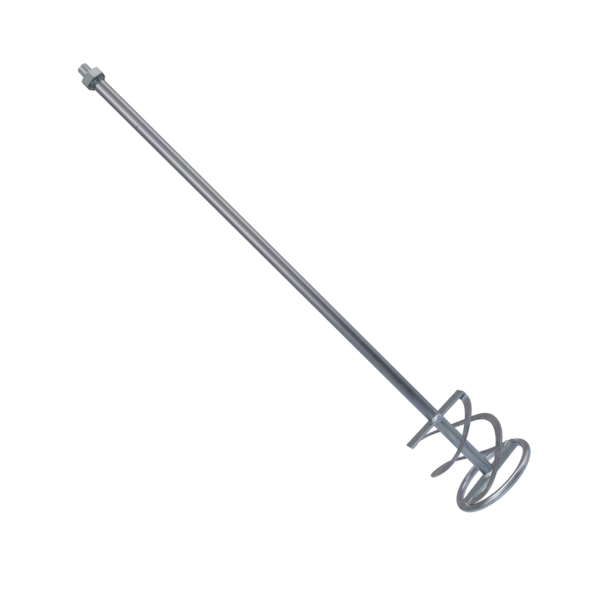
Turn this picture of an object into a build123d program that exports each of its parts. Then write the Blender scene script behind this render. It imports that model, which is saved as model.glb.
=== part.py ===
"""Mortar mixing paddle: a tube with a threaded coupling at the top and a welded basket of two helical
blades between a crossbar and a round bottom ring.

The origin is the bottom centre of the ring. +Z runs up the shaft to the threaded stud, and +X runs along
the crossbar. All sizes are in millimetres and all turns in degrees.
"""
from build123d import *
from math import cos, radians, sin, tan
import os

# ---- driving dimensions -------------------------------------------------------------------------
OVERALL_LENGTH = 601.5

RING_OUTER_D = 100.0
RING_ROD_D = 8.0

TUBE_OD = 14.0
TUBE_WALL = 2.0

STUD_D = 12.0             # M12 male thread, at its major diameter
STUD_ENGAGED_D = 10.86    # the same thread inside the nut, at its pitch diameter
STUD_EXPOSED = 11.4
STUD_CHAMFER = 1.2
SPIGOT_LENGTH = 28.0      # plain end of the stud, inside the tube
SPIGOT_GAP = 0.05

NUT_ACROSS_FLATS = 21.6   # a nominal 22 mm hexagon
NUT_HEIGHT = 10.0
NUT_CHAMFER_ANGLE = 30.0
NUT_CHAMFER_START = 0.4   # the chamfer begins this far inside the flats
COUNTERSINK_D = 12.6      # widened mouth of the nut's hole, round the foot of the thread
COUNTERSINK_DEPTH = 0.6
NUT_TURN = 26.0           # one corner of the hexagon points towards -Y and a little towards -X

BAR_WIDTH = 20.0          # crossbar and bottom bar are cut from the same flat strip
BAR_THICK = 2.2
CROSSBAR_LENGTH = 80.8
CROSSBAR_SHIFT = -0.8     # the crossbar sits slightly off centre
CROSSBAR_TOP = 90.95
SPOKE_TOP = 8.4
SPOKE_TURN = 10.0         # the bottom bar is welded in a few degrees ahead of the crossbar

BLADE_WIDTH = 8.0         # the blade strip stands on edge, so its width lies along the radius
BLADE_THICK = 2.3
BLADE_START = -9.0        # turns where the untrimmed strip starts and ends; 0 is the crossbar's end
BLADE_END = 356.0
STATION_TURN = 60.0       # a blade is given at every sixth of a turn
BLADE_POINTS = 33         # points on each edge of a blade
END_GAP_HEIGHT = 12.0     # height of the space kept clear of the blades over the bottom bar's ends
BLADE_TOP = CROSSBAR_TOP - BAR_THICK - 0.25
BLADE_FOOT = RING_ROD_D   # the foot lies on top of the rod
# Each blade: azimuth of its start, then at each station the height of the strip's middle and the reach
# of its outer edge, in whole millimetres. Both are bent by hand, so they differ by a few millimetres.
BLADES = {
    "blade_a": (0.0, (BLADE_TOP, 76, 59, 51, 35, 10, BLADE_FOOT), (40, 42, 47, 47, 46, 45, 45)),
    "blade_b": (180.0, (BLADE_TOP, 75, 56, 48, 34, 13, BLADE_FOOT), (40, 42, 43, 45, 45, 46, 45)),
}

WELD_TOE = 0.2            # thickness left at the thin edge of a weld around the tube
NUT_WELD_HEIGHT = 4.0
NUT_WELD_R = 10.6
TUBE_WELD_LEG = 2.9
BEAD_R = 2.0              # seams where a bar or a blade meets the ring or the crossbar
BEAD_LENGTH = 15.0
BLADE_BEAD_LENGTH = 9.0
BEAD_ROUNDING = 0.9       # end rounding of a bead, as a share of its radius
TOP_BEAD_TURN = 6.0
BOTTOM_BEAD_TURN = 334.0

# ---- derived dimensions -------------------------------------------------------------------------
ROD_R = RING_ROD_D / 2
RING_R = RING_OUTER_D / 2 - ROD_R
TUBE_R = TUBE_OD / 2
BORE_R = TUBE_R - TUBE_WALL
NUT_TOP = OVERALL_LENGTH - STUD_EXPOSED
NUT_BOTTOM = NUT_TOP - NUT_HEIGHT
CROSSBAR_BOTTOM = CROSSBAR_TOP - BAR_THICK
BASE = (Align.CENTER, Align.CENTER, Align.MIN)


def post(radius, low, high):
    """Round bar on the shaft's axis between two heights."""
    return Pos(0, 0, low) * Cylinder(radius, high - low, align=BASE)


def ring():
    """Round rod bent into a closed ring that stands on z = 0."""
    return Pos(0, 0, ROD_R) * Torus(RING_R, ROD_R)


def shaft_tube():
    """Plain round tube from the bottom bar to the coupling nut."""
    return post(TUBE_R, SPOKE_TOP, NUT_BOTTOM) - post(BORE_R, SPOKE_TOP, NUT_BOTTOM)


def threaded_stud():
    """Chamfered thread above the nut, the engaged length inside it, and a plain spigot in the tube."""
    end = post(STUD_D / 2, NUT_TOP, OVERALL_LENGTH)
    end = chamfer(end.edges().group_by(Axis.Z)[-1], STUD_CHAMFER)
    engaged = post(STUD_ENGAGED_D / 2, NUT_BOTTOM, NUT_TOP)
    spigot = post(BORE_R - SPIGOT_GAP, NUT_BOTTOM - SPIGOT_LENGTH, NUT_BOTTOM)
    spigot = chamfer(spigot.edges().group_by(Axis.Z)[0], STUD_CHAMFER)
    return end + engaged + spigot


def hex_nut():
    """Hexagon nut, tapped right through, with both ends turned to a cone so its corners are rounded off."""
    corner_r = NUT_ACROSS_FLATS / 2 / cos(radians(30))
    blank = extrude(Rot(0, 0, NUT_TURN) * RegularPolygon(corner_r, 6), NUT_HEIGHT)
    face_r = NUT_ACROSS_FLATS / 2 - NUT_CHAMFER_START
    outer_r = corner_r + 1
    drop = (outer_r - face_r) * tan(radians(NUT_CHAMFER_ANGLE))
    profile = Polyline((0, 0), (face_r, 0), (outer_r, drop), (outer_r, NUT_HEIGHT - drop),
                       (face_r, NUT_HEIGHT), (0, NUT_HEIGHT), close=True)
    turned = revolve(Plane.XZ * make_face(profile), Axis.Z)
    nut = Pos(0, 0, NUT_BOTTOM) * (blank & turned)
    hole = post(STUD_ENGAGED_D / 2, NUT_BOTTOM, NUT_TOP)
    mouth = Cone(STUD_ENGAGED_D / 2, COUNTERSINK_D / 2, COUNTERSINK_DEPTH, align=BASE)
    return nut - hole - Pos(0, 0, NUT_TOP - COUNTERSINK_DEPTH) * mouth


def flat_bar(length, top):
    """Flat strip on the X axis with its upper face at the given height."""
    hanging = (Align.CENTER, Align.CENTER, Align.MAX)
    return Pos(0, 0, top) * Box(length, BAR_WIDTH, BAR_THICK, align=hanging)


def crossbar():
    """Upper flat bar, drilled in the middle for the tube to pass through."""
    bar = Pos(CROSSBAR_SHIFT, 0, 0) * flat_bar(CROSSBAR_LENGTH, CROSSBAR_TOP)
    return bar - post(TUBE_R, CROSSBAR_BOTTOM - 1, CROSSBAR_TOP + 1)


def spoke():
    """Bottom flat bar across the ring, with its ends hollowed to fit the rod."""
    bar = Rot(0, 0, SPOKE_TURN) * flat_bar(2 * RING_R, SPOKE_TOP)
    inside = post(RING_R, 0, SPOKE_TOP)
    return (bar & inside) - ring()


def along(values, share):
    """Value on a smooth curve through evenly spaced values, at a share of the way along them."""
    spans = len(values) - 1
    i = min(max(int(share * spans), 0), spans - 1)
    t = share * spans - i
    a, b = values[i], values[i + 1]
    before = values[i - 1] if i > 0 else 2 * a - b
    after = values[i + 2] if i + 2 <= spans else 2 * b - a
    slope_a, slope_b = (b - before) / 2, (after - a) / 2
    if t < 0:
        return a + slope_a * t
    if t > 1:
        return b + slope_b * (t - 1)
    bend = (1 - t) * (slope_a - (b - a)) + t * ((b - a) - slope_b)
    return a + (b - a) * t + t * (1 - t) * bend


def strip_place(blade, turn):
    """Middle of the blade's strip at a turn from its start, and the outward direction there."""
    azimuth, heights, reaches = blade
    share = turn / (STATION_TURN * (len(heights) - 1))
    angle = radians(azimuth - turn)
    outward = Vector(cos(angle), sin(angle), 0)
    middle = outward * (along(reaches, share) - BLADE_WIDTH / 2)
    return middle + Vector(0, 0, along(heights, share)), outward


def strip_corners(blade, turn):
    """The four corners of the strip's cross-section at a turn."""
    middle, outward = strip_place(blade, turn)
    run = strip_place(blade, turn + 0.5)[0] - strip_place(blade, turn - 0.5)[0]
    normal = run.cross(outward).normalized()
    half_width, half_thick = outward * (BLADE_WIDTH / 2), normal * (BLADE_THICK / 2)
    return (middle + half_width + half_thick, middle + half_width - half_thick,
            middle - half_width - half_thick, middle - half_width + half_thick)


def raw_blade(blade):
    """Untrimmed blade: four ruled faces between its corner curves, closed by two flat ends."""
    step = (BLADE_END - BLADE_START) / (BLADE_POINTS - 1)
    turns = [BLADE_START + step * i for i in range(BLADE_POINTS)]
    corners = [strip_corners(blade, turn) for turn in turns]
    curves = [Edge.make_spline([c[k] for c in corners]) for k in range(4)]
    faces = [Face.make_surface_from_curves(curves[k], curves[(k + 1) % 4]) for k in range(4)]
    for ends in (corners[0], corners[-1]):
        faces.append(Face(Wire.make_polygon(ends, close=True)))
    return Solid(Shell(faces))


def trimmed_blade(blade):
    """Blade cut off flush under the crossbar, against the bottom bar and around the ring's rod."""
    above = Pos(0, 0, CROSSBAR_BOTTOM) * Box(2 * RING_OUTER_D, 2 * RING_OUTER_D, RING_OUTER_D, align=BASE)
    bar_space = Box(RING_OUTER_D, BAR_WIDTH, END_GAP_HEIGHT, align=(Align.MIN, Align.CENTER, Align.CENTER))
    bar_space = Rot(0, 0, blade[0] + SPOKE_TURN) * Pos(RING_OUTER_D / 4, 0, SPOKE_TOP) * bar_space
    solids = (raw_blade(blade) - above - bar_space - ring()).solids()
    return solids.sort_by(SortBy.VOLUME)[-1]


def collar(low, leg, up=True):
    """Fillet weld around the tube, standing on the given height or hanging from it."""
    cone = Cone(TUBE_R + leg, TUBE_R + WELD_TOE, leg, align=BASE) - post(TUBE_R, 0, leg)
    if not up:
        cone = Rot(180, 0, 0) * cone
    return Pos(0, 0, low) * cone


def nut_weld():
    """Fillet weld that closes the step between the nut's lower face and the tube."""
    low = NUT_BOTTOM - NUT_WELD_HEIGHT
    cone = Cone(TUBE_R + WELD_TOE, NUT_WELD_R, NUT_WELD_HEIGHT, align=BASE)
    return Pos(0, 0, low) * cone - post(TUBE_R, low, NUT_BOTTOM)


def bead(length, radius):
    """Straight weld bead along the Y axis with rounded ends."""
    rod = Rot(90, 0, 0) * Cylinder(radius, length)
    return fillet(rod.edges().filter_by(GeomType.CIRCLE), BEAD_ROUNDING * radius)


def spoke_end_weld(side, solids):
    """Bead over the seam between one end of the bottom bar and the ring."""
    place = Rot(0, 0, SPOKE_TURN) * Pos(side * (RING_R - BEAD_R), 0, SPOKE_TOP)
    return trimmed(place * bead(BEAD_LENGTH, BEAD_R), solids)


def blade_weld(blade, turn, lift, solids):
    """Bead where the blade's strip meets the crossbar or the ring."""
    middle = strip_place(blade, turn)[0]
    place = Pos(*middle) * Rot(0, 0, blade[0] - turn + 90) * Pos(0, 0, lift)
    return trimmed(place * bead(BLADE_BEAD_LENGTH, BEAD_R), solids)


def trimmed(piece, neighbours):
    """The piece with its neighbours cut out of it, as one solid."""
    for other in neighbours:
        piece = (piece.solid() - other.solid()).solids().sort_by(SortBy.VOLUME)[-1]
    return piece


parts = {
    "bottom_ring": ring(),
    "shaft_tube": shaft_tube(),
    "threaded_stud": threaded_stud(),
    "hex_nut": hex_nut(),
    "crossbar": crossbar(),
    "bottom_bar": spoke(),
}
for name, blade in BLADES.items():
    parts[name] = trimmed_blade(blade)

parts["weld_nut_to_tube"] = nut_weld()
parts["weld_crossbar_upper"] = collar(CROSSBAR_TOP, TUBE_WELD_LEG)
parts["weld_crossbar_lower"] = collar(CROSSBAR_BOTTOM, TUBE_WELD_LEG, up=False)
parts["weld_tube_to_bottom_bar"] = collar(SPOKE_TOP, TUBE_WELD_LEG)

joined = [parts[name] for name in ("bottom_ring", "crossbar", "bottom_bar", "blade_a", "blade_b")]
for name, side in (("right", 1), ("left", -1)):
    parts[f"weld_bottom_bar_{name}"] = spoke_end_weld(side, joined)
for letter in "ab":
    blade = BLADES[f"blade_{letter}"]
    parts[f"weld_blade_{letter}_top"] = blade_weld(blade, TOP_BEAD_TURN, -BEAD_R / 2, joined)
    parts[f"weld_blade_{letter}_bottom"] = blade_weld(blade, BOTTOM_BEAD_TURN, BEAD_R / 2, joined)

os.makedirs("parts", exist_ok=True)
for name, piece in parts.items():
    piece.label = name
    export_step(piece, f"parts/{name}.step")
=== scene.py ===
"""Looks of the mortar mixing paddle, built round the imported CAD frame. Metres; +Z up the shaft."""

import math

import bmesh
import bpy
import numpy as np
from mathutils import Matrix, Vector, noise


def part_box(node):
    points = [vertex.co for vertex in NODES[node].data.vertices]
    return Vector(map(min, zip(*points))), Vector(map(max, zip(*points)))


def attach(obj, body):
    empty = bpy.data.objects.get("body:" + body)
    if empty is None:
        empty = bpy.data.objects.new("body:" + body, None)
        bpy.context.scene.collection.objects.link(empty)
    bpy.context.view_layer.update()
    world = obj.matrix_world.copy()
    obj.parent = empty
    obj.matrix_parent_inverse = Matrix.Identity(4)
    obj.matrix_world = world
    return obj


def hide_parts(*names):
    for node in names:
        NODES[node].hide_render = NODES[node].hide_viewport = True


MM = 0.001
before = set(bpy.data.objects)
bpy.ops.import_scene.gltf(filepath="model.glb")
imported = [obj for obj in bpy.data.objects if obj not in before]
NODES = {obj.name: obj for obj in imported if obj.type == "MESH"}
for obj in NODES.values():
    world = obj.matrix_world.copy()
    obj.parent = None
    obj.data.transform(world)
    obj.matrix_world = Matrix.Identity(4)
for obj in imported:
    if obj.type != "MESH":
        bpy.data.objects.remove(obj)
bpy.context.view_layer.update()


# ---- camera ---------------------------------------------------------------------------------------
CAMERA_PLACE = (-0.10504, -0.77858, 0.32509)
CAMERA_RIGHT = (0.69331, -0.12552, -0.70962)
CAMERA_UP = (0.71086, -0.04250, 0.70204)
LENS, SENSOR = 45.64, 36.0          # mm
CENTRE_SHIFT = 0.5 / 600            # share of the picture's width
NEAREST, FARTHEST = 0.01, 20.0


def add_camera():
    """Camera that sees the paddle lying diagonally across the picture."""
    data = bpy.data.cameras.new("camera")
    data.lens, data.sensor_width = LENS, SENSOR
    data.shift_x, data.shift_y = -CENTRE_SHIFT, CENTRE_SHIFT
    data.clip_start, data.clip_end = NEAREST, FARTHEST
    camera = bpy.data.objects.new("camera", data)
    right, up = Vector(CAMERA_RIGHT).normalized(), Vector(CAMERA_UP).normalized()
    back = right.cross(up)
    turn = Matrix((right, up, back)).transposed().to_4x4()
    camera.matrix_world = Matrix.Translation(CAMERA_PLACE) @ turn
    bpy.context.scene.collection.objects.link(camera)
    bpy.context.scene.camera = camera


add_camera()


# ---- node helpers ---------------------------------------------------------------------------------
class Net:
    """Short way to add and link shader nodes."""

    def __init__(self, tree):
        self.tree = tree
        tree.nodes.clear()

    def add(self, kind, settings=None, **inputs):
        """New node with its settings and inputs. An underscore in an input's name stands for a space."""
        node = self.tree.nodes.new("ShaderNode" + kind)
        for key, value in (settings or {}).items():
            setattr(node, key, value)
        for key, value in inputs.items():
            self.feed(node, key.replace("_", " "), value)
        return node

    def feed(self, node, key, value):
        """Links a socket to an input, or sets the input's value. A key of digits is the input's number."""
        socket = node.inputs[int(key)] if key.isdigit() else node.inputs[key]
        if isinstance(value, bpy.types.NodeSocket):
            self.tree.links.new(value, socket)
        else:
            socket.default_value = value

    def math(self, operation, a, b=0.0):
        """Result of a math node."""
        node = self.tree.nodes.new("ShaderNodeMath")
        node.operation = operation
        self.feed(node, "0", a)
        self.feed(node, "1", b)
        return node.outputs[0]

    def ramp(self, value, stops, interpolation="LINEAR"):
        """Colour ramp through (position, colour) stops; a plain number stands for a grey."""
        node = self.tree.nodes.new("ShaderNodeValToRGB")
        node.color_ramp.interpolation = interpolation
        elements = node.color_ramp.elements
        for i, (place, colour) in enumerate(stops):
            element = elements[i] if i < 2 else elements.new(place)
            element.position = place
            if isinstance(colour, (int, float)):
                colour = (colour,) * 3
            element.color = (*colour, 1.0)
        self.feed(node, "Fac", value)
        return node.outputs["Color"]

    def fade(self, value, start, end):
        """0 at the start, 1 at the end, and smooth between them."""
        return self.add("MapRange", {"interpolation_type": "SMOOTHSTEP"}, Value=value, From_Min=start,
                        From_Max=end).outputs[0]

    def vector_math(self, operation, a, b):
        """Number that a vector operation gives."""
        node = self.tree.nodes.new("ShaderNodeVectorMath")
        node.operation = operation
        self.feed(node, "0", a)
        self.feed(node, "1", b)
        return node.outputs["Value"]

    def mix(self, share, a, b, blend="MIX"):
        """Colour a, with as much of colour b as the share says."""
        node = self.tree.nodes.new("ShaderNodeMix")
        node.data_type, node.blend_type = "RGBA", blend
        self.feed(node, "0", share)
        self.feed(node, "6", a)
        self.feed(node, "7", b)
        return node.outputs[2]


# ---- studio ---------------------------------------------------------------------------------------
# Light round the object: azimuth in degrees from -Y, turning towards +X, then the brightness above the
# horizon, a little below it and well below it.
SURROUNDINGS = (
    (-180, 0.27, 0.22, 0.46), (-140, 0.20, 0.28, 0.46), (-110, 0.18, 0.30, 0.46), (-88, 0.20, 0.27, 0.40),
    (-72, 0.42, 0.23, 0.42), (-52, 0.78, 0.10, 0.52), (-36, 0.94, 0.050, 0.64), (-18, 0.50, 0.040, 0.60),
    (0, 0.35, 0.050, 0.46), (18, 0.27, 0.055, 0.38), (36, 0.22, 0.075, 0.36), (52, 0.46, 0.14, 0.38),
    (72, 0.82, 0.28, 0.40), (95, 0.54, 0.26, 0.42), (125, 0.21, 0.28, 0.44), (180, 0.27, 0.22, 0.46),
)
SKY_TINT = (1.0, 1.0, 1.03)
OVERHEAD = 1.3
GROUND_TINT = (0.84, 1.0, 1.17)
# Where one zone of light gives way to the next, as the height of a direction of unit length.
HORIZON = (-0.23, 0.05)
GROUND_EDGE = (-0.288, -0.318)
OVERHEAD_EDGE = (0.86, 0.96)
FLOOR_HALF = 3.0


def add_world():
    """Soft light by direction. The camera itself sees plain white."""
    world = bpy.data.worlds.new("studio")
    world.use_nodes = True
    bpy.context.scene.world = world
    net = Net(world.node_tree)
    way = net.add("SeparateXYZ", Vector=net.add("TexCoord").outputs["Generated"])
    x, y, z = way.outputs
    azimuth = net.math("ARCTAN2", x, net.math("MULTIPLY", y, -1.0))
    share = net.math("MULTIPLY_ADD", azimuth, 0.5 / math.pi)
    net.feed(share.node, "2", 0.5)
    zones = []
    for column, tint in ((1, SKY_TINT), (2, GROUND_TINT), (3, GROUND_TINT)):
        band = net.ramp(share, [((row[0] + 180) / 360, row[column]) for row in SURROUNDINGS], "EASE")
        zones.append(net.mix(1.0, band, (*tint, 1), "MULTIPLY"))
    above, below, ground = zones
    light = net.mix(net.fade(z, *HORIZON), below, above)
    light = net.mix(net.fade(z, *GROUND_EDGE), light, ground)
    light = net.mix(net.fade(z, *OVERHEAD_EDGE), light, (OVERHEAD, OVERHEAD, OVERHEAD, 1))
    seen = net.add("LightPath").outputs["Is Camera Ray"]
    colour = net.mix(seen, light, (1, 1, 1, 1))
    background = net.add("Background", Color=colour, Strength=1.0)
    output = net.add("OutputWorld")
    net.tree.links.new(background.outputs[0], output.inputs["Surface"])


def add_floor():
    """Plain white floor under the ring. The metal doesn't mirror it."""
    mesh = bpy.data.meshes.new("floor")
    corners = [(-1, -1), (1, -1), (1, 1), (-1, 1)]
    mesh.from_pydata([(x * FLOOR_HALF, y * FLOOR_HALF, 0) for x, y in corners], [], [(0, 1, 2, 3)])
    floor = bpy.data.objects.new("floor", mesh)
    bpy.context.scene.collection.objects.link(floor)
    floor.visible_glossy = False
    floor.visible_diffuse = False
    material = bpy.data.materials.new("floor")
    material.use_nodes = True
    net = Net(material.node_tree)
    glow = net.add("Emission", Color=(1, 1, 1, 1), Strength=1.0)
    net.tree.links.new(glow.outputs[0], net.add("OutputMaterial").inputs["Surface"])
    mesh.materials.append(material)


add_world()
add_floor()
bpy.context.scene.view_settings.view_transform = "Standard"


# ---- materials ------------------------------------------------------------------------------------
BUMP_DEPTH = 0.12 * MM
SPOT_CORE = 0.2                     # share of a spot's radius that has its full strength


def zinc(name, pale, dull, violet, rough, grain_scale=400, mottle_scale=120, grain=(1, 1, 1), bump=0.05,
         grain_share=0.3, spots=(), sides=()):
    """Zinc plate: mottled between two greys and a violet cast, with a fine grain along one direction.

    A spot is (centre, radius, colour, strength). A side is (direction, from, to, colour, roughness): it
    tints and roughens what lies beyond those distances along the direction.
    """
    material = bpy.data.materials.new(name)
    material.use_nodes = True
    net = Net(material.node_tree)
    place = net.add("TexCoord").outputs["Object"]
    stretched = net.add("Mapping", Vector=place, Scale=grain).outputs[0]
    mottle = net.add("TexNoise", Vector=place, Scale=mottle_scale, Detail=5.0, Roughness=0.6).outputs[0]
    cast = net.add("TexNoise", Vector=place, Scale=mottle_scale * 0.35, Detail=2.0, Roughness=0.5,
                   Distortion=0.6).outputs[0]
    fine = net.add("TexNoise", Vector=stretched, Scale=grain_scale, Detail=4.0, Roughness=0.65).outputs[0]
    speck = net.add("TexNoise", Vector=place, Scale=mottle_scale * 9, Detail=2.0, Roughness=0.7).outputs[0]
    share = net.ramp(mottle, [(0.36, 0.0), (0.64, 1.0)])
    body = net.mix(share, (*dull, 1), (*pale, 1))
    body = net.mix(net.ramp(cast, [(0.42, 0.0), (0.66, 0.75)]), body, (*violet, 1))
    streak = net.ramp(fine, [(0.30, 1 - 0.16 * grain_share), (0.70, 1 + 0.10 * grain_share)])
    body = net.mix(1.0, body, streak, "MULTIPLY")
    dirt = net.ramp(speck, [(0.24, 0.70), (0.34, 1.0)])
    body = net.mix(1.0, body, dirt, "MULTIPLY")
    for centre, radius, colour, strength in spots:
        near = net.fade(net.vector_math("DISTANCE", place, centre), radius, SPOT_CORE * radius)
        body = net.mix(net.math("MULTIPLY", near, strength), body, (*colour, 1))
    roughened = []
    for direction, start, end, colour, side_rough in sides:
        reached = net.vector_math("DOT_PRODUCT", place, direction)
        beyond = net.add("MapRange", Value=reached, From_Min=start, From_Max=end).outputs[0]
        body = net.mix(beyond, body, net.mix(1.0, body, (*colour, 1), "MULTIPLY"))
        roughened.append((beyond, side_rough))
    gloss = net.add("MapRange", Value=fine, From_Min=0.3, From_Max=0.7, To_Min=rough - 0.03,
                    To_Max=rough + 0.04).outputs[0]
    gloss = net.math("ADD", gloss, net.math("MULTIPLY", share, 0.05))
    for beyond, side_rough in roughened:
        gloss = net.add("Mix", {"data_type": "FLOAT"}, Factor=beyond, A=gloss, B=side_rough).outputs[0]
    dent = net.add("Bump", Height=fine, Strength=bump, Distance=BUMP_DEPTH).outputs[0]
    shader = net.add("BsdfPrincipled", Base_Color=body, Metallic=1.0, Roughness=gloss, Normal=dent)
    net.tree.links.new(shader.outputs[0], net.add("OutputMaterial").inputs["Surface"])
    return material


NUT_FLAT_TURN = -4.0                # degrees from the X axis to the middle of a flat
# Angle of the nut flat that gets painted shade.
SHADED_FLAT_ANGLE = math.radians(NUT_FLAT_TURN + 240)
NUT_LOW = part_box("hex_nut")[0].z
UP, DOWN = (0, 0, 1), (0, 0, -1)
ROLLED = (0.12, 1, 1)               # grain stretched along a bar
DRAWN = (1, 1, 0.02)                # grain stretched along the tube

# Local marks and tints, as zinc takes them, and some painted highlight and painted shade, marked below.
TUBE_SPOT = ((-0.0038, -0.0059, 0.519), 0.0016, (0.22, 0.22, 0.24), 0.8)
TUBE_ABOVE_CROSSBAR = (DOWN, -93 * MM, -80 * MM, (1.0, 1.02, 1.0), 0.30)
TUBE_FOOT = (DOWN, -22 * MM, -11 * MM, (0.48, 0.60, 0.62), 0.30)
# Sheared edges of the bars: rougher, and a painted highlight lightens their colour.
ROUGH_EDGES_PAINTED_HIGHLIGHT = tuple(((0, way, 0), 9.55 * MM, 9.85 * MM, (1.42, 1.42, 1.36), 0.50) for way in (-1, 1))
PURPLE, STRAW, BROWN = (0.82, 0.46, 0.70), (1.0, 0.76, 0.42), (0.52, 0.43, 0.40)
HEAT_TINTS = (((-0.0435, 0.006, 0.0490), 0.016, PURPLE, 0.75), ((-0.0400, -0.014, 0.0540), 0.013, STRAW, 0.75),
              ((-0.023, -0.034, 0.012), 0.014, BROWN, 0.6))
# Painted light: the blade tops, in the shade under the crossbar, are lightened and tinted blue, and made
# rougher.
BLADE_TOPS_PAINTED_LIGHT = (UP, 85.0 * MM, 86.5 * MM, (1.30, 1.55, 1.70), 0.65)
# Painted shade darkens one flat of the nut.
NUT_PAINTED_SHADE_FLAT = ((math.cos(SHADED_FLAT_ANGLE), math.sin(SHADED_FLAT_ANGLE), 0), 10.3 * MM, 10.7 * MM, (0.48, 0.56, 0.54), 0.28)
# Painted shade: the nut darkens towards its low end, next to the weld bead.
NUT_PAINTED_SHADE_END = (DOWN, -NUT_LOW - 2.2 * MM, -NUT_LOW - 0.6 * MM, (0.24, 0.30, 0.28), 0.24)

TUBE = zinc("zinc_tube", (0.72, 0.73, 0.75), (0.66, 0.68, 0.71), (0.66, 0.63, 0.74), 0.15,
            grain_scale=700, mottle_scale=50, grain=DRAWN, bump=0.03, spots=(TUBE_SPOT,),
            sides=(TUBE_ABOVE_CROSSBAR, TUBE_FOOT))
RING = zinc("zinc_ring", (0.82, 0.83, 0.86), (0.66, 0.68, 0.72), (0.76, 0.67, 0.79), 0.10,
            mottle_scale=90, bump=0.03)
BAR = zinc("zinc_bar", (0.60, 0.69, 0.73), (0.50, 0.58, 0.61), (0.56, 0.57, 0.69), 0.27,
           grain_scale=500, mottle_scale=110, grain=ROLLED, bump=0.08, grain_share=0.4, sides=ROUGH_EDGES_PAINTED_HIGHLIGHT)
# A bluer, lighter copy of the bar's zinc for the bottom bar: a painted reflection.
BOTTOM_BAR = zinc("zinc_bottom_bar", (0.62, 0.72, 0.76), (0.52, 0.63, 0.67), (0.60, 0.62, 0.72), 0.27,
                  grain_scale=500, mottle_scale=110, grain=ROLLED, bump=0.08, grain_share=0.4,
                  sides=ROUGH_EDGES_PAINTED_HIGHLIGHT)
BLADE = zinc("zinc_blade", (0.62, 0.61, 0.65), (0.50, 0.50, 0.54), (0.61, 0.54, 0.65), 0.27,
             grain_scale=450, bump=0.08, grain_share=0.4, spots=HEAT_TINTS, sides=(BLADE_TOPS_PAINTED_LIGHT,))
NUT = zinc("zinc_nut", (0.88, 0.89, 0.89), (0.80, 0.81, 0.81), (0.80, 0.80, 0.83), 0.24,
           grain_scale=600, grain=(1, 1, 0.2), sides=(NUT_PAINTED_SHADE_FLAT, NUT_PAINTED_SHADE_END))
STUD = zinc("zinc_thread", (0.92, 0.93, 0.92), (0.82, 0.84, 0.83), (0.84, 0.82, 0.86), 0.26,
            grain_scale=600, mottle_scale=200)
WELD = zinc("zinc_weld", (0.88, 0.95, 1.0), (0.50, 0.57, 0.62), (0.66, 0.68, 0.78), 0.20, mottle_scale=250)
# Painted highlight: a lighter copy of the weld metal, for the bead at the tube's foot.
WELD_PAINTED_HIGHLIGHT = zinc("zinc_weld_painted_highlight", (1.0, 1.0, 1.0), (0.86, 0.92, 0.96), (0.94, 0.96, 1.0), 0.30,
                   mottle_scale=250)
# Painted shade: a darker copy of the weld metal, mottled near black, for the bead under the nut.
WELD_PAINTED_SHADE = zinc("zinc_weld_painted_shade", (0.62, 0.66, 0.64), (0.07, 0.09, 0.09), (0.12, 0.14, 0.14), 0.22,
                 mottle_scale=240)


# ---- meshes ---------------------------------------------------------------------------------------
JOIN_DISTANCE = 0.002 * MM
SHARP_ANGLE = math.radians(35)


def new_piece(name, mesh, material, node):
    """Finished piece on the frame that stands for a CAD node."""
    piece = bpy.data.objects.new(name, mesh)
    bpy.context.scene.collection.objects.link(piece)
    mesh.materials.clear()
    mesh.materials.append(material)
    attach(piece, "root")
    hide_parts(node)


def paint(node, material):
    """Gives a CAD node its material."""
    mesh = NODES[node].data
    mesh.materials.clear()
    mesh.materials.append(material)


def welded_copy(node):
    """bmesh of a CAD node with the seams between its faces joined."""
    work = bmesh.new()
    work.from_mesh(NODES[node].data)
    bmesh.ops.remove_doubles(work, verts=work.verts, dist=JOIN_DISTANCE)
    return work


def shade_smooth(mesh):
    """Smooth shading on every face of a mesh."""
    for polygon in mesh.polygons:
        polygon.use_smooth = True


def softened(node, width, flat_angle=0.5):
    """Mesh of a CAD node with its sharp edges rounded. Faces closer than flat_angle degrees are merged."""
    work = welded_copy(node)
    bmesh.ops.dissolve_limit(work, angle_limit=math.radians(flat_angle), verts=work.verts, edges=work.edges,
                             delimit=set())
    sharp = [e for e in work.edges if len(e.link_faces) == 2 and e.calc_face_angle() > SHARP_ANGLE]
    bmesh.ops.bevel(work, geom=sharp, offset=width, segments=3, profile=0.5, affect="EDGES",
                    clamp_overlap=True)
    mesh = bpy.data.meshes.new(node + "_soft")
    work.to_mesh(mesh)
    work.free()
    shade_smooth(mesh)
    return mesh


WELD_VOXEL = 0.22 * MM
SMOOTH_ROUNDS = 4
RIPPLE_SKEW, RIPPLE_LEAN = 0.6, 0.35
SEED_SCALE, SEED_OFFSET = 300, Vector((7.0, 3.0, 1.0))
WOBBLE_SCALE, LUMP_SCALE, FINE_LUMP_SCALE = 300, 260, 600      # per metre


def remeshed(node):
    """Evenly divided closed mesh of a CAD node, with its edges smoothed down."""
    work = welded_copy(node)
    mesh = bpy.data.meshes.new(node + "_raw")
    work.to_mesh(mesh)
    work.free()
    holder = bpy.data.objects.new(node + "_raw", mesh)
    bpy.context.scene.collection.objects.link(holder)
    modifier = holder.modifiers.new("remesh", "REMESH")
    modifier.mode, modifier.voxel_size, modifier.use_smooth_shade = "VOXEL", WELD_VOXEL, True
    smooth = holder.modifiers.new("smooth", "SMOOTH")
    smooth.iterations = SMOOTH_ROUNDS
    graph = bpy.context.evaluated_depsgraph_get()
    result = bpy.data.meshes.new_from_object(holder.evaluated_get(graph))
    bpy.data.objects.remove(holder)
    return result


def main_axis(points):
    """Centre and longest direction of a cloud of points."""
    centre = points.mean(0)
    directions = np.linalg.eigh(np.cov((points - centre).T))[1]
    return centre, directions[:, -1]


def ripple(phase):
    """Profile of one weld ripple: steep behind, sloping off in front."""
    place = phase % 1.0
    return math.sin(math.pi * place ** RIPPLE_SKEW) - 0.5


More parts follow.
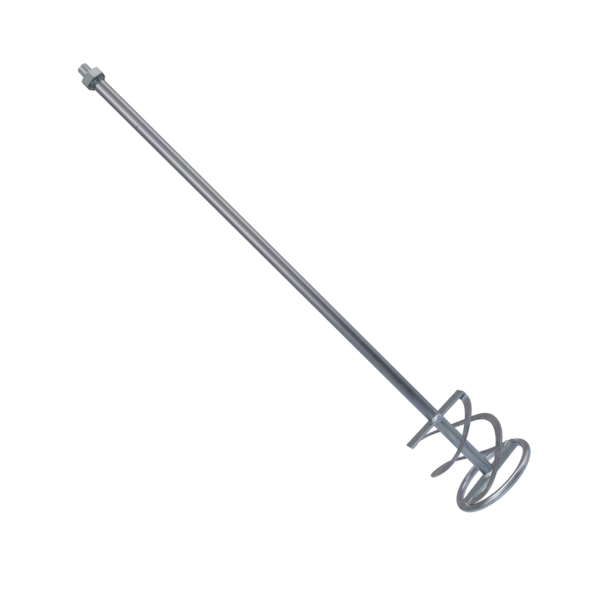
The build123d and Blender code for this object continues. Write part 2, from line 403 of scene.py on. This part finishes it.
def lumpy_weld(node, pitch, depth, lump, round_shaft):
    """Weld metal from a CAD bead, with ripples laid along the seam and uneven lumps."""
    mesh = remeshed(node)
    points = np.array([v.co[:] for v in mesh.vertices])
    normals = np.array([v.normal[:] for v in mesh.vertices])
    centre, axis = main_axis(points)
    seam_radius = float(np.hypot(points[:, 0], points[:, 1]).mean())
    seed = Vector((centre * SEED_SCALE).tolist()) + SEED_OFFSET
    moved = points.copy()
    for i, (point, normal) in enumerate(zip(points, normals)):
        if round_shaft:
            along = math.atan2(point[1], point[0]) * seam_radius
            across = math.hypot(point[0], point[1])
        else:
            along = float(np.dot(point - centre, axis))
            across = float(np.linalg.norm(point - centre - along * axis))
        place = Vector(point.tolist())
        wobble = noise.noise(place * WOBBLE_SCALE + seed)
        phase = (along + RIPPLE_LEAN * across) / pitch + 0.5 * wobble
        lumps = noise.noise(place * LUMP_SCALE + seed) + 0.3 * noise.noise(place * FINE_LUMP_SCALE + seed)
        moved[i] = point + normal * (depth * ripple(phase) + lump * lumps)
    mesh.vertices.foreach_set("co", moved.ravel())
    mesh.update()
    shade_smooth(mesh)
    return mesh


def lathe_grid(rows, sides, capped):
    """Mesh from rows of points round the axis. Each row is a function of the angle giving (radius, z).

    Flat caps close the first row and the last, or else faces join the last row to the first.
    """
    vertices, faces = [], []
    for row in rows:
        for k in range(sides):
            angle = 2 * math.pi * k / sides
            radius, z = row(angle)
            vertices.append((radius * math.cos(angle), radius * math.sin(angle), z))
    for i in range(len(rows) - 1):
        for k in range(sides):
            a, b = i * sides + k, i * sides + (k + 1) % sides
            faces.append((a, b, b + sides, a + sides))
    if capped:
        faces.append(tuple(range(sides))[::-1])
        faces.append(tuple(range((len(rows) - 1) * sides, len(rows) * sides)))
    else:
        for k in range(sides):
            a, b = (len(rows) - 1) * sides + k, (len(rows) - 1) * sides + (k + 1) % sides
            faces.append((a, b, (k + 1) % sides, k))
    mesh = bpy.data.meshes.new("lathe")
    mesh.from_pydata(vertices, [], faces)
    mesh.update()
    for polygon in mesh.polygons:
        polygon.use_smooth = len(polygon.vertices) == 4
    return mesh


THREAD_PITCH, THREAD_DEPTH = 1.75 * MM, 0.90 * MM
THREAD_ROOT_SHARE, THREAD_FLANK_SHARE = 0.16, 0.68      # of half a pitch; the rest is the crest
THREAD_ROWS_APART = 0.11 * MM
THREAD_SIDES = 96
TURNS_IN_NUT = 2
TIP_CHAMFER = 1.2 * MM
RUN_OUT_HEIGHT, RUN_OUT_DEPTH = 0.3 * MM, 0.2 * MM
TUBE_WALL = 2 * MM
SPIGOT_GAP = 0.05 * MM


def thread_mesh():
    """Right-hand M12 thread with a chamfered tip, on the plain spigot that sits in the tube."""
    low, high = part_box("threaded_stud")
    nut_low, nut_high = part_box("hex_nut")
    crest = high.x
    root = crest - THREAD_DEPTH
    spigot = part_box("shaft_tube")[1].x - TUBE_WALL - SPIGOT_GAP
    start = nut_high.z - TURNS_IN_NUT * THREAD_PITCH
    count = int((high.z - start) / THREAD_ROWS_APART)

    def spigot_row(z):
        return lambda angle: (spigot, z)

    def thread_row(z):
        def place(angle):
            turns = z / THREAD_PITCH - angle / (2 * math.pi)
            from_root = abs((turns % 1.0) - 0.5) * 2
            rise = min(1.0, max(0.0, (from_root - THREAD_ROOT_SHARE) / THREAD_FLANK_SHARE))
            radius = root + (crest - root) * rise
            if z < nut_high.z + RUN_OUT_HEIGHT:
                radius = min(radius, root + RUN_OUT_DEPTH)
            return min(radius, crest - TIP_CHAMFER + (high.z - z)), z
        return place

    rows = [spigot_row(low.z), spigot_row(nut_low.z), thread_row(nut_low.z)]
    rows += [thread_row(start + (high.z - start) * i / count) for i in range(count + 1)]
    return lathe_grid(rows, THREAD_SIDES, True)


def smooth_min(values, softness):
    """Least of some values, with the corners between them rounded off."""
    least = min(values)
    return least - softness * math.log(sum(math.exp((least - v) / softness) for v in values))


def reach(node, azimuth):
    """How far a CAD node reaches from the shaft's axis in one direction."""
    way = Vector((math.cos(math.radians(azimuth)), math.sin(math.radians(azimuth)), 0))
    return max(v.co.dot(way) for v in NODES[node].data.vertices)


NUT_CHAMFER = math.radians(30)
NUT_FACE_INSET = 0.4 * MM           # from the flats to the turned end face
NUT_CORNER_SOFTNESS = 0.10 * MM
NUT_BORE, NUT_MOUTH = 5.43 * MM, 6.3 * MM
NUT_MOUTH_DEPTH, NUT_MOUTH_LIP = 0.6 * MM, (0.15 * MM, 0.05 * MM)
NUT_END_SHARES = (0.90, 0.93)       # of the end face's radius: a row that keeps it flat, below and above
NUT_SIDES = 180
# Heights of the rows above an end, close together where the chamfer curves.
NUT_LEVELS = (0, 0.05, 0.12, 0.2, 0.3, 0.42, 0.55, 0.7, 0.85, 1.0, 1.2, 1.45, 1.75, 2.1, 2.6, 3.3, 4.2)


def nut_mesh():
    """Hexagon nut with turned, rounded ends and slightly rounded corners."""
    low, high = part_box("hex_nut")
    flat = reach("hex_nut", NUT_FLAT_TURN)
    face_radius = flat - NUT_FACE_INSET

    def side_row(z):
        def place(angle):
            planes = [flat / max(0.2, math.cos(angle - math.radians(NUT_FLAT_TURN + 60 * k))) for k in range(6)]
            turned = face_radius + min(z - low.z, high.z - z) / math.tan(NUT_CHAMFER)
            return smooth_min(planes + [turned], NUT_CORNER_SOFTNESS), z
        return place

    def round_row(radius, z):
        return lambda angle: (radius, z)

    lip_width, lip_height = NUT_MOUTH_LIP
    below, above = NUT_END_SHARES
    levels = [v * MM for v in NUT_LEVELS]
    heights = [low.z + v for v in levels] + [(low.z + high.z) / 2] + [high.z - v for v in reversed(levels)]
    rows = [round_row(NUT_BORE, low.z), round_row(face_radius * below, low.z)]
    rows += [side_row(z) for z in heights]
    rows += [round_row(face_radius * above, high.z), round_row(NUT_MOUTH + lip_width, high.z),
             round_row(NUT_MOUTH, high.z - lip_height), round_row(NUT_BORE, high.z - NUT_MOUTH_DEPTH)]
    return lathe_grid(rows, NUT_SIDES, False)


# ---- the paddle -----------------------------------------------------------------------------------
BAR_EDGE, BLADE_EDGE = 0.35 * MM, 0.45 * MM
ROUND_DEPTH = 0.12 * MM
SEAM_PITCH, SEAM_DEPTH, SEAM_LUMP = 1.4 * MM, 0.04 * MM, 0.10 * MM
# Beads round the shaft: ripple pitch and lump height in millimetres, and the material.
ROUND_WELDS = {
    "weld_nut_to_tube": (1.9, 1.0, WELD_PAINTED_SHADE),
    "weld_crossbar_upper": (1.6, 0.65, WELD),
    "weld_crossbar_lower": (1.6, 0.5, WELD),
    "weld_tube_to_bottom_bar": (1.6, 0.65, WELD_PAINTED_HIGHLIGHT),
}
SEAM_WELDS = ("weld_bottom_bar_right", "weld_bottom_bar_left", "weld_blade_a_top", "weld_blade_a_bottom",
              "weld_blade_b_top", "weld_blade_b_bottom")

paint("shaft_tube", TUBE)
paint("bottom_ring", RING)
new_piece("stud_thread", thread_mesh(), STUD, "threaded_stud")
new_piece("nut_body", nut_mesh(), NUT, "hex_nut")
for node, material in (("crossbar", BAR), ("bottom_bar", BOTTOM_BAR)):
    new_piece(node + "_strip", softened(node, BAR_EDGE), material, node)
for node in ("blade_a", "blade_b"):
    new_piece(node + "_strip", softened(node, BLADE_EDGE, flat_angle=0.05), BLADE, node)
for node, (pitch, lump, material) in ROUND_WELDS.items():
    mesh = lumpy_weld(node, pitch * MM, ROUND_DEPTH, lump * MM, True)
    new_piece(node + "_bead", mesh, material, node)
for node in SEAM_WELDS:
    mesh = lumpy_weld(node, SEAM_PITCH, SEAM_DEPTH, SEAM_LUMP, False)
    new_piece(node + "_bead", mesh, RING, node)
